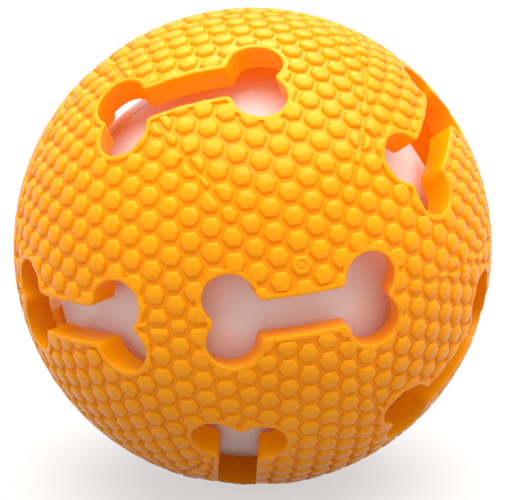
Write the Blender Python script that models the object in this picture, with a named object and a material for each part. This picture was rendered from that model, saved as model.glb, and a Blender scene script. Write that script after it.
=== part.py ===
"""Light-up dog ball: a hollow rubber ball with bone-shaped windows and a loose glowing ball inside.

Metres, +Z up. The origin is the centre of the rubber ball. The mould axis of its two halves is Y,
and the front half faces -Y. Most pieces are modelled in a frame whose +Z points forwards, out of
the front half, and whose +Y points up.
"""
import math

import bmesh
import bpy
from mathutils import Matrix, Vector

# Clearance between pieces that seat on each other
GAP = 0.0003

# Rubber ball
BALL_DIAMETER = 0.075
SHELL_WALL = 0.0042
SHELL_LAP_DEPTH = 0.002

# Bone-shaped windows
BONE_LENGTH = 0.0289
BONE_END_WIDTH = 0.0143
BONE_LOBE_RADIUS = 0.0039
BONE_SHANK_WIDTH = 0.0058

# Tilt of the front bone, and of the five bones around it: the angle from the mould axis, the
# angle round that axis from the right, and the turn of the bone's length from the meridian
FRONT_BONE_TILT = 6.0
RING_BONES = (
    (62.0, 41.0, 0.0),
    (61.5, 115.0, 73.0),
    (61.0, 188.0, 0.0),
    (55.0, 257.0, 16.0),
    (55.0, 332.0, 63.0),
)
# The back half is the front moulding turned over about a line in the parting plane
BACK_TURN_LINE = 12.0

# Glowing ball
PLAY_ALL_ROUND = 0.0025
GLOW_WALL = 0.0018
GLOW_LAP_DEPTH = 0.0025

# Button cells
CELL_DIAMETER = 0.0116
CELL_HEIGHT = 0.0054
CELL_CAP_DIAMETER = 0.0092
CELL_CAP_HEIGHT = 0.0004
CELL_SPREAD = 60.0

# Cell tray, and where its back face lies behind the middle of the glowing ball
TRAY_SETBACK = 0.0062
TRAY_THICKNESS = 0.0016
TRAY_MARGIN = 0.0006
POCKET_WALL = 0.001
POCKET_DEPTH = 0.0046

# Stamped contacts
CONTACT_THICKNESS = 0.0003
CONTACT_DISC_DIAMETER = 0.008
CONTACT_STRIP_WIDTH = 0.003

# Coil contacts between the cells and the board
CELL_COIL_DIAMETER = 0.0056
CELL_COIL_WIRE = 0.0004
CELL_COIL_PITCH = 0.0009
CELL_COIL_TURNS = 3

# Circuit board
BOARD_THICKNESS = 0.0012

# Lamps
LED_DIAMETER = 0.005
LED_HEIGHT = 0.0086
LED_FLANGE_DIAMETER = 0.0058
LED_FLANGE_HEIGHT = 0.001
LED_LEAD_PITCH = 0.00254
LED_LEAD_WIDTH = 0.0005
LED_LEAD_TAIL = 0.0008
LED_CIRCLE_RADIUS = 0.011
LED_ANGLES = {"red_led": 150.0, "green_led": 90.0, "blue_led": 30.0}

# Screws through the board and the tray into the posts of the back half
SCREW_DIAMETER = 0.002
SCREW_HEAD_DIAMETER = 0.0042
SCREW_HEAD_HEIGHT = 0.0014
SCREW_SLOT_WIDTH = 0.0006
SCREW_SLOT_DEPTH = 0.0006
SCREW_TIP = 0.001
SCREW_GRIP = 0.006
TUBE_WALL = 0.001
TUBE_CLEAR_OF_POCKET = 0.0006
SCREW_ANGLES = {"tray_screw_top": 90.0, "tray_screw_left": 240.0, "tray_screw_right": 300.0}

# Motion switch: a coil round a pin
PIN_DIAMETER = 0.001
PIN_HEIGHT = 0.0076
PIN_TAIL = 0.0008
SWITCH_COIL_DIAMETER = 0.0036
SWITCH_COIL_WIRE = 0.0004
SWITCH_COIL_PITCH = 0.00092
SWITCH_COIL_TURNS = 8

# Small parts on the front of the board, with their places on it
CHIP_DIAMETER = 0.0064
CHIP_HEIGHT = 0.0013
CHIP_PLACE = (0.0, -0.0085)
RESISTOR_SIZE = (0.0032, 0.0016, 0.0007)
RESISTOR_PLACE = (-0.0085, -0.0055)
CAPACITOR_DIAMETER = 0.004
CAPACITOR_HEIGHT = 0.005
CAPACITOR_EDGE = 0.0002
CAPACITOR_PLACE = (0.0085, -0.0055)

# Fineness of the round shapes
SHELL_SEGMENTS = 44
SHELL_STEPS = 11
GLOW_SEGMENTS = 36
GLOW_STEPS = 9
DISC_SEGMENTS = 48
ROUND_SEGMENTS = 24
SMALL_SEGMENTS = 12
DOME_STEPS = 5
LOBE_STEPS = 8
COIL_POINTS = 9
SMOOTH_ANGLE = math.radians(35)
TINY = 1e-9
OVERRUN = 0.001

# Sizes that follow from the ones above
SHELL_RADIUS = BALL_DIAMETER / 2
CAVITY_RADIUS = SHELL_RADIUS - SHELL_WALL
GLOW_RADIUS = CAVITY_RADIUS - PLAY_ALL_ROUND
GLOW_DROP = PLAY_ALL_ROUND - GAP
GLOW_INNER_RADIUS = GLOW_RADIUS - GLOW_WALL

CELL_RADIUS = CELL_DIAMETER / 2
POCKET_RADIUS = CELL_RADIUS + GAP
POCKET_OUTER_RADIUS = POCKET_RADIUS + POCKET_WALL
CELL_CIRCLE_RADIUS = (2 * POCKET_RADIUS + POCKET_WALL) / (2 * math.sin(math.radians(CELL_SPREAD / 2)))
CELL_ANGLES = {"left": 270.0 - CELL_SPREAD, "middle": 270.0, "right": 270.0 + CELL_SPREAD}

SCREW_HOLE_RADIUS = SCREW_DIAMETER / 2 + GAP
TUBE_RADIUS = SCREW_HOLE_RADIUS + TUBE_WALL
TUBE_TO_CELL = POCKET_OUTER_RADIUS + TUBE_CLEAR_OF_POCKET + TUBE_RADIUS
HALF_SPREAD = math.radians(CELL_SPREAD / 2)
SCREW_CIRCLE_RADIUS = CELL_CIRCLE_RADIUS * math.cos(HALF_SPREAD) + math.sqrt(
    TUBE_TO_CELL**2 - (CELL_CIRCLE_RADIUS * math.sin(HALF_SPREAD)) ** 2
)
TRAY_RADIUS = TRAY_MARGIN + max(
    CELL_CIRCLE_RADIUS + POCKET_OUTER_RADIUS, SCREW_CIRCLE_RADIUS + TUBE_RADIUS
)

# The stack of pieces from the back of the tray forwards
TRAY_BACK = -TRAY_SETBACK
TRAY_FLOOR = TRAY_BACK + TRAY_THICKNESS
CONTACT_BACK = TRAY_FLOOR + GAP
CELL_BACK = CONTACT_BACK + CONTACT_THICKNESS + GAP
CELL_FRONT = CELL_BACK + CELL_HEIGHT
CELL_COIL_BACK = CELL_FRONT + GAP
CELL_COIL_HEIGHT = CELL_COIL_TURNS * CELL_COIL_PITCH + 2 * CELL_COIL_WIRE
BOARD_BACK = CELL_COIL_BACK + CELL_COIL_HEIGHT + GAP
BOARD_FRONT = BOARD_BACK + BOARD_THICKNESS
PART_SEAT = BOARD_FRONT + GAP
POST_FRONT = TRAY_BACK - GAP
SCREW_END = POST_FRONT - SCREW_GRIP


def clear_scene():
    for item in list(bpy.data.objects):
        bpy.data.objects.remove(item, do_unlink=True)


def make_material(name, colour, roughness, metallic=0.0):
    material = bpy.data.materials.new(name)
    material.use_nodes = True
    shader = material.node_tree.nodes["Principled BSDF"]
    shader.inputs["Base Color"].default_value = (*colour, 1.0)
    shader.inputs["Roughness"].default_value = roughness
    shader.inputs["Metallic"].default_value = metallic
    return material


def make_frame(name, location):
    """An empty whose +Z points forwards (-Y of the part) and whose +Y points up."""
    frame = bpy.data.objects.new(name, None)
    frame.location = location
    frame.rotation_euler = (math.radians(90), 0.0, 0.0)
    bpy.context.collection.objects.link(frame)
    return frame


def make_object(name, bm, material, parent, place=(0.0, 0.0, 0.0)):
    bmesh.ops.recalc_face_normals(bm, faces=bm.faces)
    mesh = bpy.data.meshes.new(name)
    bm.to_mesh(mesh)
    bm.free()
    mesh.shade_smooth()
    mesh.set_sharp_from_angle(angle=SMOOTH_ANGLE)
    item = bpy.data.objects.new(name, mesh)
    item.location = place
    item.parent = parent
    if material:
        mesh.materials.append(material)
    bpy.context.collection.objects.link(item)
    return item


def make_tool(name, bm, parent):
    """A hidden body that only cuts, or adds to, another one."""
    tool = make_object(name, bm, None, parent)
    tool.hide_render = True
    tool.display_type = "WIRE"
    return tool


def combine(target, tool, operation):
    modifier = target.modifiers.new(tool.name, "BOOLEAN")
    modifier.operation = operation
    modifier.solver = "EXACT"
    modifier.object = tool


def on_circle(radius, degrees):
    angle = math.radians(degrees)
    return (radius * math.cos(angle), radius * math.sin(angle))


def arc(radius, start, end, steps):
    """Points (across, along) on an arc about the origin, from one angle to another in radians."""
    angles = [start + (end - start) * step / steps for step in range(steps + 1)]
    return [(radius * math.cos(angle), radius * math.sin(angle)) for angle in angles]


def add_turned(bm, profile, segments, centre=(0.0, 0.0)):
    """Adds a body of revolution about Z from a closed run of (radius, height) points."""
    rings = []
    for radius, height in profile:
        if radius < TINY:
            rings.append([bm.verts.new((centre[0], centre[1], height))])
            continue
        ring = []
        for step in range(segments):
            x, y = on_circle(radius, 360.0 * step / segments)
            ring.append(bm.verts.new((centre[0] + x, centre[1] + y, height)))
        rings.append(ring)
    for ring, following in zip(rings, rings[1:] + rings[:1]):
        if len(ring) == 1 and len(following) == 1:
            continue
        for step in range(segments):
            after = (step + 1) % segments
            corners = [ring[step % len(ring)], ring[after % len(ring)]]
            corners += [following[after % len(following)], following[step % len(following)]]
            bm.faces.new(list(dict.fromkeys(corners)))


def add_prism(bm, outline, low, high, matrix=Matrix()):
    """Adds an outline of (x, y) points, extruded from low to high in the matrix's own frame."""
    bottom = [bm.verts.new(matrix @ Vector((x, y, low))) for x, y in outline]
    top = [bm.verts.new(matrix @ Vector((x, y, high))) for x, y in outline]
    bm.faces.new(bottom[::-1])
    bm.faces.new(top)
    for step, corner in enumerate(bottom):
        after = (step + 1) % len(bottom)
        bm.faces.new((corner, bottom[after], top[after], top[step]))


def circle(radius, segments, centre, turn=0.0):
    """Corners of a round outline. The turn is a share of the step from one corner to the next."""
    places = [on_circle(radius, 360.0 * (step + turn) / segments) for step in range(segments)]
    return [(centre[0] + x, centre[1] + y) for x, y in places]


def add_cylinder(bm, radius, low, high, segments, centre=(0.0, 0.0)):
    add_prism(bm, circle(radius, segments, centre), low, high)


def add_hole(bm, radius, low, high, segments, centre=(0.0, 0.0)):
    """A cylinder that cuts. Its corners lie between those of a round body on the same centre."""
    add_prism(bm, circle(radius, segments, centre, 0.5), low, high)


def rectangle(width, height, centre=(0.0, 0.0)):
    x, y = centre
    corners = ((-1, -1), (1, -1), (1, 1), (-1, 1))
    return [(x + i * width / 2, y + j * height / 2) for i, j in corners]


def half_shell(radius, wall, lap_depth, segments, steps, front):
    """Half of a hollow ball. The front half has a lip inside its rim, the back half its rebate."""
    inner = radius - wall
    seam = GAP / 2
    lip = radius - wall / 2 - GAP / 2
    if front:
        step_radius = lip
        inner_end = -lap_depth
    else:
        step_radius = lip + GAP
        inner_end = lap_depth + GAP
    outside = arc(radius, math.asin(seam / radius), math.pi / 2, steps)
    inside = arc(inner, math.pi / 2, math.asin(inner_end / inner), steps)
    outside[-1] = (0.0, radius)
    inside[0] = (0.0, inner)
    rim = [(step_radius, inner_end), (step_radius, seam)]
    side = 1 if front else -1
    bm = bmesh.new()
    add_turned(bm, [(across, side * along) for across, along in outside + inside + rim], segments)
    return bm


def bone_outline():
    """Half-lobed outline of a bone along X, listed anticlockwise."""
    lobe_x = BONE_LENGTH / 2 - BONE_LOBE_RADIUS
    lobe_y = BONE_END_WIDTH / 2 - BONE_LOBE_RADIUS
    neck = math.pi - math.asin((BONE_SHANK_WIDTH / 2 - lobe_y) / BONE_LOBE_RADIUS)
    notch = -math.asin(min(1.0, lobe_y / BONE_LOBE_RADIUS))
    lobe = [(lobe_x + x, lobe_y + y) for x, y in arc(BONE_LOBE_RADIUS, notch, neck, LOBE_STEPS)]
    right = [(x, -y) for x, y in reversed(lobe)]
    right += lobe[1:] if lobe[0][1] < TINY else lobe
    return right + [(-x, -y) for x, y in right]


def bone_frames():
    """The frame of each bone of the front half: X along the bone, Z out through the window."""
    yield Matrix.Rotation(math.radians(FRONT_BONE_TILT), 4, "Z")
    for polar, azimuth, turn in RING_BONES:
        swing = Matrix.Rotation(math.radians(azimuth), 4, "Z")
        lean = Matrix.Rotation(math.radians(polar), 4, "Y")
        yield swing @ lean @ Matrix.Rotation(math.radians(turn), 4, "Z")


def bone_windows(name, turn_over, parent):
    """The tool that cuts six bone windows square through one half of the rubber ball."""
    outline = bone_outline()
    reach = max(math.hypot(x, y) for x, y in outline)
    low = math.sqrt(CAVITY_RADIUS**2 - reach**2) - OVERRUN
    bm = bmesh.new()
    for frame in bone_frames():
        add_prism(bm, outline, low, SHELL_RADIUS + OVERRUN, turn_over @ frame)
    return make_tool(name, bm, parent)


def make_rubber_ball(parent):
    rubber = make_material("orange_rubber", (1.0, 0.40, 0.01), 0.45)
    x, y = on_circle(1.0, BACK_TURN_LINE)
    turn_over = Matrix.Rotation(math.pi, 4, Vector((x, y, 0.0)))
    for name, front, turn in (("front", True, Matrix()), ("back", False, turn_over)):
        bm = half_shell(
            SHELL_RADIUS, SHELL_WALL, SHELL_LAP_DEPTH, SHELL_SEGMENTS, SHELL_STEPS, front
        )
        half = make_object(f"outer_shell_{name}", bm, rubber, parent)
        combine(half, bone_windows(f"windows_{name}", turn, parent), "DIFFERENCE")


def add_post(bm, centre):
    """A round post from the tray back to the wall, its far end following the round wall."""
    wall_middle = GLOW_RADIUS - GLOW_WALL / 2
    near = []
    far = []
    for x, y in circle(TUBE_RADIUS, SMALL_SEGMENTS, centre):
        near.append(bm.verts.new((x, y, POST_FRONT)))
        far.append(bm.verts.new((x, y, -math.sqrt(wall_middle**2 - x * x - y * y))))
    middle = -math.sqrt(wall_middle**2 - centre[0] ** 2 - centre[1] ** 2)
    tip = bm.verts.new((centre[0], centre[1], middle))
    bm.faces.new(near)
    for step in range(SMALL_SEGMENTS):
        after = (step + 1) % SMALL_SEGMENTS
        bm.faces.new((near[after], near[step], far[step], far[after]))
        bm.faces.new((far[after], far[step], tip))


def make_glow_ball(parent):
    milky = make_material("milky_plastic", (0.90, 0.86, 0.83), 0.3)
    halves = {}
    for name, front in (("front", True), ("back", False)):
        bm = half_shell(
            GLOW_RADIUS, GLOW_WALL, GLOW_LAP_DEPTH, GLOW_SEGMENTS, GLOW_STEPS, front
        )
        halves[name] = make_object(f"glow_ball_{name}", bm, milky, parent)
    posts = bmesh.new()
    holes = bmesh.new()
    for degrees in SCREW_ANGLES.values():
        centre = on_circle(SCREW_CIRCLE_RADIUS, degrees)
        add_post(posts, centre)
        add_hole(
            holes, SCREW_HOLE_RADIUS, SCREW_END - GAP, POST_FRONT + OVERRUN, SMALL_SEGMENTS, centre
        )
    combine(halves["back"], make_tool("screw_posts", posts, parent), "UNION")
    combine(halves["back"], make_tool("screw_post_holes", holes, parent), "DIFFERENCE")


def along_run(outline, start, end):
    """Moves an outline drawn along X from the origin so that it runs from start towards end."""
    heading = (Vector(end) - Vector(start)).normalized()
    across = Vector((-heading.y, heading.x))
    points = [Vector(start) + heading * x + across * y for x, y in outline]
    return [(point.x, point.y) for point in points]


def strip_outline(start, end, width):
    length = (Vector(end) - Vector(start)).length
    return along_run(rectangle(length, width, (length / 2, 0.0)), start, end)


def contact_outline(start, end, both_ends):
    """A strip with a round pad at its start, and with another at its end or a square end there."""
    pad = CONTACT_DISC_DIAMETER / 2
    half_width = CONTACT_STRIP_WIDTH / 2
    length = (Vector(end) - Vector(start)).length
    neck = math.asin(half_width / pad)
    near = arc(pad, neck, 2 * math.pi - neck, ROUND_SEGMENTS)
    far = [(length, -half_width), (length, half_width)]
    if both_ends:
        far = [(length - x, -y) for x, y in near]
    return along_run(near + far, start, end)


def cell_centre(name):
    return on_circle(CELL_CIRCLE_RADIUS, CELL_ANGLES[name])


def chain_outline(centres, radius):
    """The outline round a row of circles that each overlap the next, listed anticlockwise."""
    overlap = math.acos((Vector(centres[1]) - Vector(centres[0])).length / (2 * radius))
    there_and_back = centres + centres[-2:0:-1]
    outline = []
    for step, centre in enumerate(there_and_back):
        before = Vector(there_and_back[step - 1]) - Vector(centre)
        after = Vector(there_and_back[(step + 1) % len(there_and_back)]) - Vector(centre)
        start = math.atan2(before.y, before.x) + overlap
        sweep = (math.atan2(after.y, after.x) - overlap - start) % (2 * math.pi)
        steps = max(1, round(ROUND_SEGMENTS * sweep / (2 * math.pi)))
        points = arc(radius, start, start + sweep, steps)[:-1]
        outline += [(centre[0] + x, centre[1] + y) for x, y in points]
    return outline


def riser_centre():
    """Where the return contact rises to the board, just clear of its cell's pocket."""
    cell = Vector(cell_centre("right"))
    reach = POCKET_OUTER_RADIUS + CONTACT_THICKNESS + 2 * GAP
    return cell - cell.normalized() * reach


def make_cell_tray(parent):
    plastic = make_material("tray_plastic", (0.80, 0.80, 0.78), 0.5)
    bm = bmesh.new()
    add_cylinder(bm, TRAY_RADIUS, TRAY_BACK, TRAY_FLOOR, DISC_SEGMENTS)
    tray = make_object("cell_tray", bm, plastic, parent)
    root = TRAY_BACK + TRAY_THICKNESS / 2
    pocket_rim = TRAY_FLOOR + POCKET_DEPTH
    centres = [cell_centre(name) for name in CELL_ANGLES]
    walls = bmesh.new()
    add_prism(walls, chain_outline(centres, POCKET_OUTER_RADIUS), root, pocket_rim)
    combine(tray, make_tool("pocket_walls", walls, parent), "UNION")
    bores = bmesh.new()
    for centre in centres:
        add_hole(bores, POCKET_RADIUS, TRAY_FLOOR, pocket_rim + OVERRUN, ROUND_SEGMENTS, centre)
    tubes = bmesh.new()
    for degrees in SCREW_ANGLES.values():
        centre = on_circle(SCREW_CIRCLE_RADIUS, degrees)
        add_cylinder(tubes, TUBE_RADIUS, root, BOARD_BACK - GAP, SMALL_SEGMENTS, centre)
        add_hole(
            bores, SCREW_HOLE_RADIUS, TRAY_BACK - OVERRUN, BOARD_BACK, SMALL_SEGMENTS, centre
        )
    combine(tray, make_tool("spacer_tubes", tubes, parent), "UNION")
    combine(tray, make_tool("tray_bores", bores, parent), "DIFFERENCE")
    channels = bmesh.new()
    channel_top = CONTACT_BACK + CONTACT_THICKNESS + GAP
    channel_end = riser_centre() - Vector(cell_centre("right")).normalized() * GAP
    runs = (
        (cell_centre("left"), cell_centre("middle")),
        (cell_centre("right"), channel_end),
    )
    for start, end in runs:
        outline = strip_outline(start, end, CONTACT_STRIP_WIDTH + 2 * GAP)
        add_prism(channels, outline, TRAY_FLOOR - GAP, channel_top)
    combine(tray, make_tool("contact_channels", channels, parent), "DIFFERENCE")


def make_contacts(parent):
    """A strip that joins two cells, and one that brings the third cell's pole up to the board."""
    steel = make_material("contact_steel", (0.72, 0.71, 0.68), 0.3, 1.0)
    right = cell_centre("right")
    riser = riser_centre()
    outlines = {
        "cell_bridge": contact_outline(cell_centre("left"), cell_centre("middle"), True),
        "return_contact": contact_outline(right, riser, False),
    }
    contacts = {}
    for name, outline in outlines.items():
        bm = bmesh.new()
        add_prism(bm, outline, CONTACT_BACK, CONTACT_BACK + CONTACT_THICKNESS)
        contacts[name] = make_object(name, bm, steel, parent)
    outer_face = riser + Vector(right).normalized() * GAP
    inner_face = outer_face + Vector(right).normalized() * CONTACT_THICKNESS
    tab = bmesh.new()
    outline = strip_outline(outer_face, inner_face, CONTACT_STRIP_WIDTH - 2 * GAP)
    add_prism(tab, outline, CONTACT_BACK + CONTACT_THICKNESS / 2, BOARD_BACK - GAP)
    combine(contacts["return_contact"], make_tool("return_riser", tab, parent), "UNION")


def make_button_cells(parent):
    steel = make_material("cell_steel", (0.75, 0.75, 0.74), 0.25, 1.0)
    cap = CELL_CAP_DIAMETER / 2
    shoulder = CELL_HEIGHT - CELL_CAP_HEIGHT
    edge = CELL_CAP_HEIGHT
    profile = [(0.0, 0.0), (CELL_RADIUS - edge, 0.0), (CELL_RADIUS, edge), (CELL_RADIUS, shoulder)]
    profile += [(cap, shoulder), (cap, CELL_HEIGHT), (0.0, CELL_HEIGHT)]
    for name in CELL_ANGLES:
        bm = bmesh.new()
        add_turned(bm, profile, ROUND_SEGMENTS)
        make_object(f"button_cell_{name}", bm, steel, parent, (*cell_centre(name), CELL_BACK))


def coil_path(diameter, wire, pitch, turns):
    """A coil about Z that starts and ends with a straight run of one wire diameter."""
    count = turns * COIL_POINTS
    radius = diameter / 2
    path = [Vector((radius, 0.0, 0.0))]
    for step in range(count + 1):
        x, y = on_circle(radius, 360.0 * step / COIL_POINTS)
        path.append(Vector((x, y, wire + pitch * step / COIL_POINTS)))
    path.append(path[-1] + Vector((0.0, 0.0, wire)))
    return path


def least_gap(path, wire):
    """The least open space between one turn of a coil and another."""
    apart = COIL_POINTS // 2
    spans = []
    for step, point in enumerate(path):
        spans += [(point - other).length for other in path[step + apart:]]
    return min(spans) - wire


def make_coil(name, path, wire, material, parent, place):
    curve = bpy.data.curves.new(name, "CURVE")
    curve.dimensions = "3D"
    curve.bevel_depth = wire / 2
    curve.bevel_resolution = 1
    curve.use_fill_caps = True
    spline = curve.splines.new("POLY")
    spline.points.add(len(path) - 1)
    for point, position in zip(spline.points, path):
        point.co = (*position, 1.0)
    curve.materials.append(material)
    coil = bpy.data.objects.new(name, curve)
    coil.location = place
    coil.parent = parent
    bpy.context.collection.objects.link(coil)
    print(f"{name}: least gap between turns {least_gap(path, wire) * 1000:.2f} mm")


def make_cell_springs(parent):
    wire = make_material("spring_wire", (0.78, 0.72, 0.55), 0.3, 1.0)
    path = coil_path(CELL_COIL_DIAMETER, CELL_COIL_WIRE, CELL_COIL_PITCH, CELL_COIL_TURNS)
    for name in CELL_ANGLES:
        place = (*cell_centre(name), CELL_COIL_BACK)
        make_coil(f"cell_spring_{name}", path, CELL_COIL_WIRE, wire, parent, place)


def led_centre(name):
    return on_circle(LED_CIRCLE_RADIUS, LED_ANGLES[name])


def lead_centres(centre):
    half_pitch = LED_LEAD_PITCH / 2
    return [(centre[0] - half_pitch, centre[1]), (centre[0] + half_pitch, centre[1])]


def make_circuit_board(parent):
    green = make_material("board_green", (0.04, 0.22, 0.09), 0.4)
    bm = bmesh.new()
    add_cylinder(bm, TRAY_RADIUS, BOARD_BACK, BOARD_FRONT, DISC_SEGMENTS)
    board = make_object("circuit_board", bm, green, parent)
    low = BOARD_BACK - OVERRUN
    high = BOARD_FRONT + OVERRUN
    lead_hole = LED_LEAD_WIDTH / math.sqrt(2) + GAP
    holes = bmesh.new()
    for degrees in SCREW_ANGLES.values():
        centre = on_circle(SCREW_CIRCLE_RADIUS, degrees)
        add_hole(holes, SCREW_HOLE_RADIUS, low, high, SMALL_SEGMENTS, centre)
    for name in LED_ANGLES:
        for centre in lead_centres(led_centre(name)):
            add_hole(holes, lead_hole, low, high, SMALL_SEGMENTS, centre)
    add_hole(holes, PIN_DIAMETER / 2 + GAP, low, high, SMALL_SEGMENTS)
    combine(board, make_tool("board_holes", holes, parent), "DIFFERENCE")


def make_leds(parent):
    colours = {
        "red_led": (0.9, 0.05, 0.05),
        "green_led": (0.05, 0.8, 0.1),
        "blue_led": (0.05, 0.15, 0.9),
    }
    radius = LED_DIAMETER / 2
    flange = LED_FLANGE_DIAMETER / 2
    dome_base = LED_HEIGHT - radius
    profile = [(0.0, 0.0), (flange, 0.0), (flange, LED_FLANGE_HEIGHT), (radius, LED_FLANGE_HEIGHT)]
    profile += [(x, dome_base + y) for x, y in arc(radius, 0.0, math.pi / 2, DOME_STEPS)[:-1]]
    profile.append((0.0, LED_HEIGHT))
    for name, colour in colours.items():
        centre = led_centre(name)
        bm = bmesh.new()
        add_turned(bm, profile, SMALL_SEGMENTS)
        lamp = make_object(name, bm, make_material(name, colour, 0.15), parent, (*centre, PART_SEAT))
        leads = bmesh.new()
        for lead in lead_centres(centre):
            outline = rectangle(LED_LEAD_WIDTH, LED_LEAD_WIDTH, lead)
            add_prism(leads, outline, BOARD_BACK - LED_LEAD_TAIL, PART_SEAT + LED_FLANGE_HEIGHT / 2)
        combine(lamp, make_tool(f"{name}_leads", leads, parent), "UNION")


def make_screws(parent):
    steel = make_material("screw_steel", (0.55, 0.55, 0.56), 0.3, 1.0)
    radius = SCREW_DIAMETER / 2
    head = SCREW_HEAD_DIAMETER / 2
    top = PART_SEAT + SCREW_HEAD_HEIGHT
    profile = [(0.0, SCREW_END), (radius / 2, SCREW_END), (radius, SCREW_END + SCREW_TIP)]
    profile += [(radius, PART_SEAT), (head, PART_SEAT), (head, top - SCREW_SLOT_DEPTH)]
    profile += [(head - SCREW_SLOT_DEPTH, top), (0.0, top)]
    for name, degrees in SCREW_ANGLES.items():
        centre = on_circle(SCREW_CIRCLE_RADIUS, degrees)
        bm = bmesh.new()
        add_turned(bm, profile, SMALL_SEGMENTS)
        screw = make_object(name, bm, steel, parent, (*centre, 0.0))
        slot = bmesh.new()
        outline = rectangle(SCREW_HEAD_DIAMETER + OVERRUN, SCREW_SLOT_WIDTH, centre)
        add_prism(slot, outline, top - SCREW_SLOT_DEPTH, top + OVERRUN)
        combine(screw, make_tool(f"{name}_slot", slot, parent), "DIFFERENCE")


def make_small_parts(parent):
    epoxy = make_material("black_epoxy", (0.02, 0.02, 0.02), 0.35)
    radius = CHIP_DIAMETER / 2
    blob = bmesh.new()
    dome = arc(1.0, 0.0, math.pi / 2, DOME_STEPS)[:-1]
    profile = [(0.0, 0.0)] + [(radius * x, CHIP_HEIGHT * y) for x, y in dome] + [(0.0, CHIP_HEIGHT)]
    add_turned(blob, profile, ROUND_SEGMENTS)
    make_object("controller_chip", blob, epoxy, parent, (*CHIP_PLACE, PART_SEAT))

    ceramic = make_material("resistor_ceramic", (0.06, 0.06, 0.07), 0.4)
    length, width, height = RESISTOR_SIZE
    block = bmesh.new()
    add_prism(block, rectangle(length, width), 0.0, height)
    make_object("resistor", block, ceramic, parent, (*RESISTOR_PLACE, PART_SEAT))

    sleeve = make_material("capacitor_sleeve", (0.08, 0.10, 0.25), 0.35)
    can = bmesh.new()
    can_radius = CAPACITOR_DIAMETER / 2
    profile = [(0.0, 0.0), (can_radius, 0.0), (can_radius, CAPACITOR_HEIGHT - CAPACITOR_EDGE)]
    profile += [(can_radius - CAPACITOR_EDGE, CAPACITOR_HEIGHT), (0.0, CAPACITOR_HEIGHT)]
    add_turned(can, profile, SMALL_SEGMENTS)
    make_object("capacitor", can, sleeve, parent, (*CAPACITOR_PLACE, PART_SEAT))


def make_motion_switch(parent):
    """The pin stands in the board. The coil's frame lies where the coil is held, and sways there."""
    steel = make_material("switch_steel", (0.80, 0.76, 0.60), 0.3, 1.0)
    bm = bmesh.new()
    radius = PIN_DIAMETER / 2
    profile = [(0.0, BOARD_BACK - PIN_TAIL), (radius, BOARD_BACK - PIN_TAIL)]
    profile += [(radius, PART_SEAT + PIN_HEIGHT), (0.0, PART_SEAT + PIN_HEIGHT)]
    add_turned(bm, profile, SMALL_SEGMENTS)
    make_object("motion_pin", bm, steel, parent)
    path = coil_path(SWITCH_COIL_DIAMETER, SWITCH_COIL_WIRE, SWITCH_COIL_PITCH, SWITCH_COIL_TURNS)
    sway = bpy.data.objects.new("motion_spring_sway", None)
    sway.location = (0.0, 0.0, PART_SEAT)
    sway.parent = parent
    bpy.context.collection.objects.link(sway)
    make_coil("motion_spring", path, SWITCH_COIL_WIRE, steel, sway, (0.0, 0.0, 0.0))


def main():
    clear_scene()
    make_rubber_ball(make_frame("rubber_ball_frame", (0.0, 0.0, 0.0)))
    roll = make_frame("glow_ball_roll", (0.0, 0.0, -GLOW_DROP))
    make_glow_ball(roll)
    make_cell_tray(roll)
    make_contacts(roll)
    make_button_cells(roll)
    make_cell_springs(roll)
    make_circuit_board(roll)
    make_leds(roll)
    make_screws(roll)
    make_small_parts(roll)
    make_motion_switch(roll)


main()
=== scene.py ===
"""Looks of the light-up dog ball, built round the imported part.

The rubber ball is one moulding used twice: half a hollow ball with a honeycomb of raised pads, cut
by six bone-shaped windows. The moulding is drawn in millimetres in its own frame, with +Z out of
its pole and the parting plane at Z = 0, and then set in place as the front half and the back half.
The milky ball and the coils inside it are drawn in millimetres about that ball's middle.
"""
import math

import bmesh
import bpy
import numpy as np
from mathutils import Matrix, Vector
from mathutils.geometry import delaunay_2d_cdt


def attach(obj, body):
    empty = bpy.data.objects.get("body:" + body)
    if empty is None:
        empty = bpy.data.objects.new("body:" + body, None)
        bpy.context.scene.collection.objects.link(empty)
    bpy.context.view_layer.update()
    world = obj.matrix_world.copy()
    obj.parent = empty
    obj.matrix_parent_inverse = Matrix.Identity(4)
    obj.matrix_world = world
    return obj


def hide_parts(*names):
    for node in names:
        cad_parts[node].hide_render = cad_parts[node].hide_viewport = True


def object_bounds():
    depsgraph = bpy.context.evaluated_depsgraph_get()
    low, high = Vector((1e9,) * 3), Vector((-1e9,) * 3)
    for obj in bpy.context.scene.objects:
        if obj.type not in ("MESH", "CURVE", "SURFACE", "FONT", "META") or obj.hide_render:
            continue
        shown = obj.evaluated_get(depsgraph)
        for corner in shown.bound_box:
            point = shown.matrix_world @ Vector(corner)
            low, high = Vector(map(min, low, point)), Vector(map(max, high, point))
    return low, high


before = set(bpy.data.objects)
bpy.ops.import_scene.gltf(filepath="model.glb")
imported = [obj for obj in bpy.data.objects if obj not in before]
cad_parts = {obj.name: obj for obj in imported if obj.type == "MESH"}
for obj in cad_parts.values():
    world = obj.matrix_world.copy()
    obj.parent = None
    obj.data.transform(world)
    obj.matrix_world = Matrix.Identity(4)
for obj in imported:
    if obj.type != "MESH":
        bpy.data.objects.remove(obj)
CAD_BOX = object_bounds()

MM = 0.001
# Turns a frame with +Z forwards and +Y up into the part's frame
STAND = np.array([[1.0, 0.0, 0.0], [0.0, 0.0, -1.0], [0.0, 1.0, 0.0]])
# The least length that is divided by
TINY = 1e-6

# Rubber moulding
PAD_TOP_RADIUS = 37.5
PAD_HEIGHT = 0.6
GROOVE_RADIUS = PAD_TOP_RADIUS - PAD_HEIGHT
MIDDLE_RADIUS = PAD_TOP_RADIUS - PAD_HEIGHT / 2
CAVITY_RADIUS = 33.3
PARTING_GAP = 0.02
PARTING_POINTS = 240
RUBBER_SHARP_ANGLE = 52
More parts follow.
